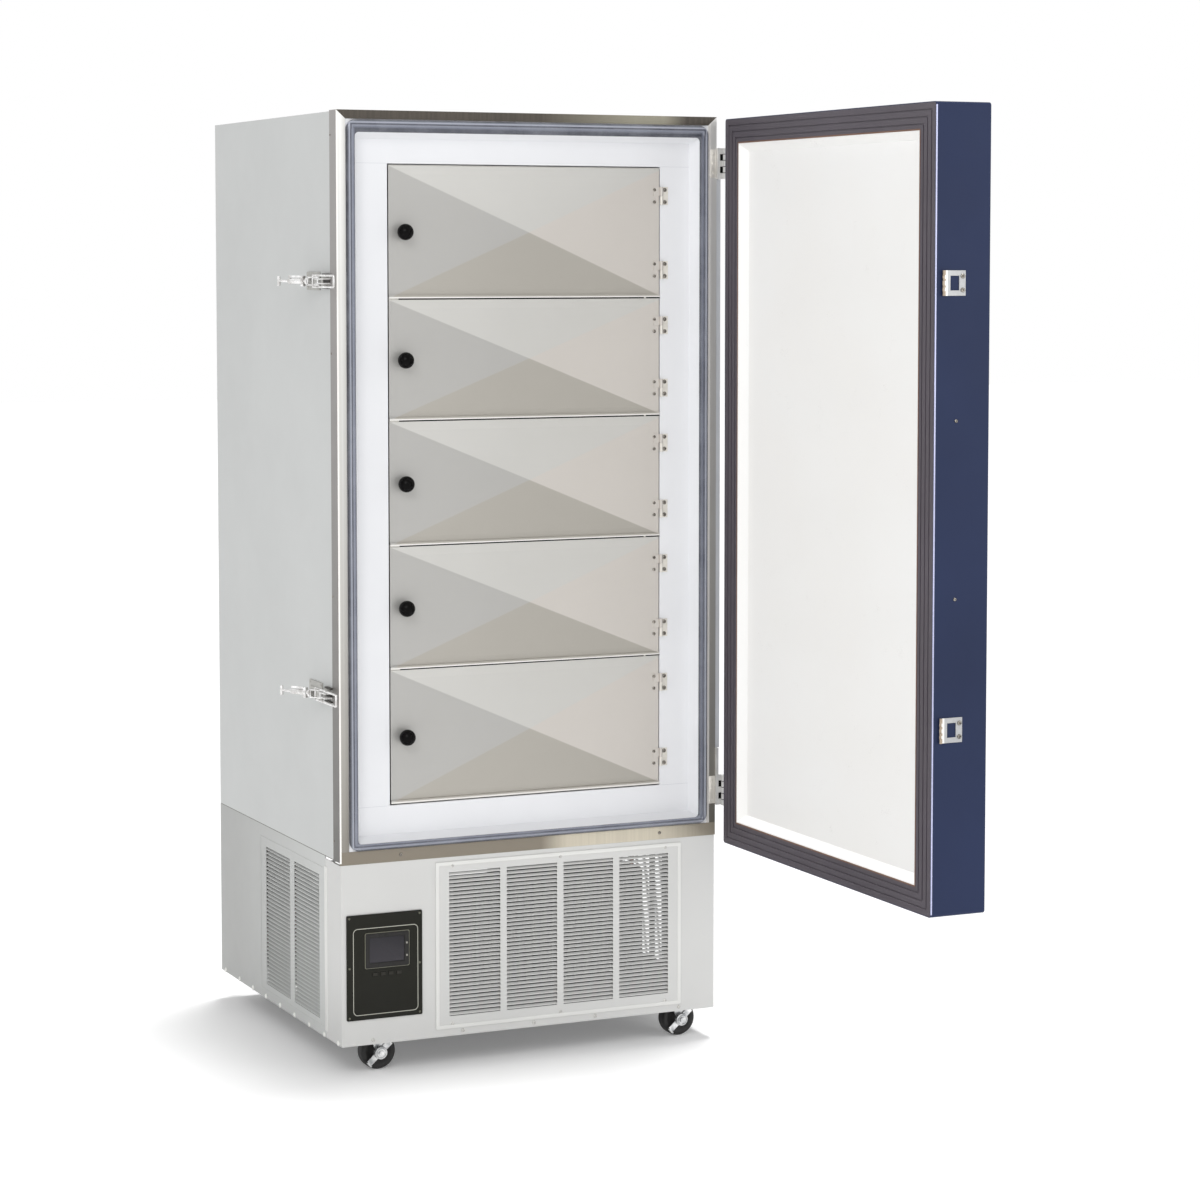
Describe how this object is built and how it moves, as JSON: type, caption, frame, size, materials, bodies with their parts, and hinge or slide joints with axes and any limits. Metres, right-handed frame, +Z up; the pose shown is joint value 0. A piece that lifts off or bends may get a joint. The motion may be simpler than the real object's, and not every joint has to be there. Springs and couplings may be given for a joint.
{
  "type": "ultra low temperature freezer",
  "caption": "Upright ultra low temperature freezer on casters: outer door open at a right angle, inner doors, side draw latches, louvred machine bay and a small control panel.",
  "frame": {"origin": "on the floor under the middle of the cabinet", "axes": "+Z up, -Y towards the user (the front), +X to the user's right"},
  "size_m": [1.0624, 1.7348, 1.996],
  "materials": {
    "cabinet_paint": "satin pale grey powder coat on sheet steel",
    "frame_steel": "grey painted steel channel",
    "trim_steel": "brushed stainless sheet with a soft mirror",
    "breaker_white": "smooth white moulded plastic",
    "seal_grey": "grey silicone gasket",
    "seal_dark": "dark purple-grey gasket",
    "liner_steel": "stainless chamber tank, dull",
    "foam": null,
    "shelf_steel": "stainless shelf sheet",
    "copper": "bare copper refrigerant tube",
    "inner_door_steel": "dull aluminised sheet with a faint grain",
    "bright_steel": "bright plated steel",
    "hinge_steel": "pale plated hinge with bands",
    "door_navy": "dark blue satin paint",
    "door_white": "white gloss painted liner pan",
    "knob_black": "glossy black ball pull",
    "latch_grey": "mid grey cast metal",
    "compressor_black": "black painted steel shell",
    "fin_aluminium": "bare aluminium fins",
    "machine_grey": "grey painted sheet",
    "fan_black": "black moulded plastic",
    "panel_black": "dark moulded panel with a fine texture",
    "display_dark": "dark display window in a black bezel",
    "key_grey": "soft dark key cap",
    "zinc": "zinc plated pressed steel",
    "wheel_dark": "dark grey rubber tyred wheel"
  },
  "bodies": {
    "cabinet": {"base_frame": "frame_steel", "cabinet_shell": "cabinet_paint", "cabinet_back": "cabinet_paint", "trim_frame": "trim_steel", "breaker_frame": "breaker_white", "cabinet_gasket": "seal_grey", "chamber_liner": "liner_steel", "foam_insulation": "foam", "shelves": "shelf_steel", "evaporator_coil": "copper", "inner_hinge_leaves": "bright_steel", "cabinet_hinges": "hinge_steel", "hinge_cover_strip": "hinge_steel", "latch_bases": "latch_grey", "lower_front_panel": "cabinet_paint", "lower_side_left": "cabinet_paint", "lower_side_right": "cabinet_paint", "front_grille": "cabinet_paint", "rear_cover": "cabinet_paint", "compressors": "compressor_black", "condenser": "fin_aluminium", "fan_shroud": "machine_grey", "cascade_heat_exchanger": "copper", "electrical_box": "machine_grey", "control_panel": "panel_black", "display_module": "display_dark", "rear_caster_forks": "zinc"},
    "outer_door": {"door_skin": "door_navy", "door_foam": "foam", "door_liner": "door_white", "door_gasket": "seal_dark", "door_hinge_leaves": "hinge_steel", "latch_keepers": "bright_steel"},
    "inner_door_1": {"inner_door_1": "inner_door_steel", "inner_door_knob_1": "knob_black"},
    "inner_door_2": {"inner_door_2": "inner_door_steel", "inner_door_knob_2": "knob_black"},
    "inner_door_3": {"inner_door_3": "inner_door_steel", "inner_door_knob_3": "knob_black"},
    "inner_door_4": {"inner_door_4": "inner_door_steel", "inner_door_knob_4": "knob_black"},
    "inner_door_5": {"inner_door_5": "inner_door_steel", "inner_door_knob_5": "knob_black"},
    "latch_lever_upper": {"latch_lever_upper": "bright_steel"},
    "latch_loop_upper": {"latch_loop_upper": "bright_steel"},
    "latch_lever_lower": {"latch_lever_lower": "bright_steel"},
    "latch_loop_lower": {"latch_loop_lower": "bright_steel"},
    "caster_fork_left": {"caster_fork_left": "zinc"},
    "front_wheel_left": {"front_wheel_left": "wheel_dark"},
    "rear_wheel_left": {"rear_wheel_left": "wheel_dark"},
    "brake_pedal_left": {"brake_pedal_left": "zinc"},
    "caster_fork_right": {"caster_fork_right": "zinc"},
    "front_wheel_right": {"front_wheel_right": "wheel_dark"},
    "rear_wheel_right": {"rear_wheel_right": "wheel_dark"},
    "brake_pedal_right": {"brake_pedal_right": "zinc"},
    "condenser_fan": {"condenser_fan": "fan_black"},
    "control_key_1": {"control_key_1": "key_grey"},
    "control_key_2": {"control_key_2": "key_grey"},
    "control_key_3": {"control_key_3": "key_grey"},
    "control_key_4": {"control_key_4": "key_grey"}
  },
  "joints": [
    {"name": "outer_door_hinge", "type": "hinge", "parent": "cabinet", "child": "outer_door", "pos_m": [0.4478, -0.4175, 1.2], "axis": [0, 0, 1], "range_deg": [-90, 30]},
    {"name": "inner_door_1_hinge", "type": "hinge", "parent": "cabinet", "child": "inner_door_1", "pos_m": [0.313, -0.377, 1.2], "axis": [0, 0, 1], "range_deg": [0, 95]},
    {"name": "inner_door_2_hinge", "type": "hinge", "parent": "cabinet", "child": "inner_door_2", "pos_m": [0.313, -0.377, 1.2], "axis": [0, 0, 1], "range_deg": [0, 95]},
    {"name": "inner_door_3_hinge", "type": "hinge", "parent": "cabinet", "child": "inner_door_3", "pos_m": [0.313, -0.377, 1.2], "axis": [0, 0, 1], "range_deg": [0, 95]},
    {"name": "inner_door_4_hinge", "type": "hinge", "parent": "cabinet", "child": "inner_door_4", "pos_m": [0.313, -0.377, 1.2], "axis": [0, 0, 1], "range_deg": [0, 95]},
    {"name": "inner_door_5_hinge", "type": "hinge", "parent": "cabinet", "child": "inner_door_5", "pos_m": [0.313, -0.377, 1.2], "axis": [0, 0, 1], "range_deg": [0, 95]},
    {"name": "latch_lever_upper_hinge", "type": "hinge", "parent": "cabinet", "child": "latch_lever_upper", "pos_m": [-0.4438, -0.322, 1.648], "axis": [0, 0, 1], "range_deg": [-28, 100]},
    {"name": "latch_loop_upper_hinge", "type": "hinge", "parent": "latch_lever_upper", "child": "latch_loop_upper", "pos_m": [-0.4508, -0.30988, 1.648], "axis": [0, 0, 1], "range_deg": [-100, 28]},
    {"name": "latch_lever_lower_hinge", "type": "hinge", "parent": "cabinet", "child": "latch_lever_lower", "pos_m": [-0.4438, -0.322, 0.794], "axis": [0, 0, 1], "range_deg": [-28, 100]},
    {"name": "latch_loop_lower_hinge", "type": "hinge", "parent": "latch_lever_lower", "child": "latch_loop_lower", "pos_m": [-0.4508, -0.30988, 0.794], "axis": [0, 0, 1], "range_deg": [-100, 28]},
    {"name": "caster_swivel_left", "type": "hinge", "parent": "cabinet", "child": "caster_fork_left", "pos_m": [-0.35, -0.3415, 0.09], "axis": [0, 0, 1], "continuous": true},
    {"name": "front_wheel_spin_left", "type": "hinge", "parent": "caster_fork_left", "child": "front_wheel_left", "pos_m": [-0.332, -0.3415, 0.038], "axis": [0, 1, 0], "continuous": true},
    {"name": "brake_pedal_left_hinge", "type": "hinge", "parent": "caster_fork_left", "child": "brake_pedal_left", "pos_m": [-0.332, -0.3415, 0.038], "axis": [0, 1, 0], "range_deg": [0, 15]},
    {"name": "rear_wheel_spin_left", "type": "hinge", "parent": "cabinet", "child": "rear_wheel_left", "pos_m": [-0.32, 0.3415, 0.038], "axis": [1, 0, 0], "continuous": true},
    {"name": "caster_swivel_right", "type": "hinge", "parent": "cabinet", "child": "caster_fork_right", "pos_m": [0.35, -0.3415, 0.09], "axis": [0, 0, 1], "continuous": true},
    {"name": "front_wheel_spin_right", "type": "hinge", "parent": "caster_fork_right", "child": "front_wheel_right", "pos_m": [0.368, -0.3415, 0.038], "axis": [0, 1, 0], "continuous": true},
    {"name": "brake_pedal_right_hinge", "type": "hinge", "parent": "caster_fork_right", "child": "brake_pedal_right", "pos_m": [0.368, -0.3415, 0.038], "axis": [0, 1, 0], "range_deg": [0, 15]},
    {"name": "rear_wheel_spin_right", "type": "hinge", "parent": "cabinet", "child": "rear_wheel_right", "pos_m": [0.32, 0.3415, 0.038], "axis": [1, 0, 0], "continuous": true},
    {"name": "condenser_fan_spin", "type": "hinge", "parent": "cabinet", "child": "condenser_fan", "pos_m": [0.06375, -0.29, 0.26], "axis": [0, 1, 0], "continuous": true},
    {"name": "control_key_1_press", "type": "slide", "parent": "cabinet", "child": "control_key_1", "axis": [0, 1, 0], "range_m": [0, 0.0007], "stiffness_N_per_m": 400, "springref_m": -0.001},
    {"name": "control_key_2_press", "type": "slide", "parent": "cabinet", "child": "control_key_2", "axis": [0, 1, 0], "range_m": [0, 0.0007], "stiffness_N_per_m": 400, "springref_m": -0.001},
    {"name": "control_key_3_press", "type": "slide", "parent": "cabinet", "child": "control_key_3", "axis": [0, 1, 0], "range_m": [0, 0.0007], "stiffness_N_per_m": 400, "springref_m": -0.001},
    {"name": "control_key_4_press", "type": "slide", "parent": "cabinet", "child": "control_key_4", "axis": [0, 1, 0], "range_m": [0, 0.0007], "stiffness_N_per_m": 400, "springref_m": -0.001}
  ],
  "couplings": [
    {"joint": "latch_loop_upper_hinge", "follows": "latch_lever_upper_hinge", "ratio": -1},
    {"joint": "latch_loop_lower_hinge", "follows": "latch_lever_lower_hinge", "ratio": -1}
  ]
}
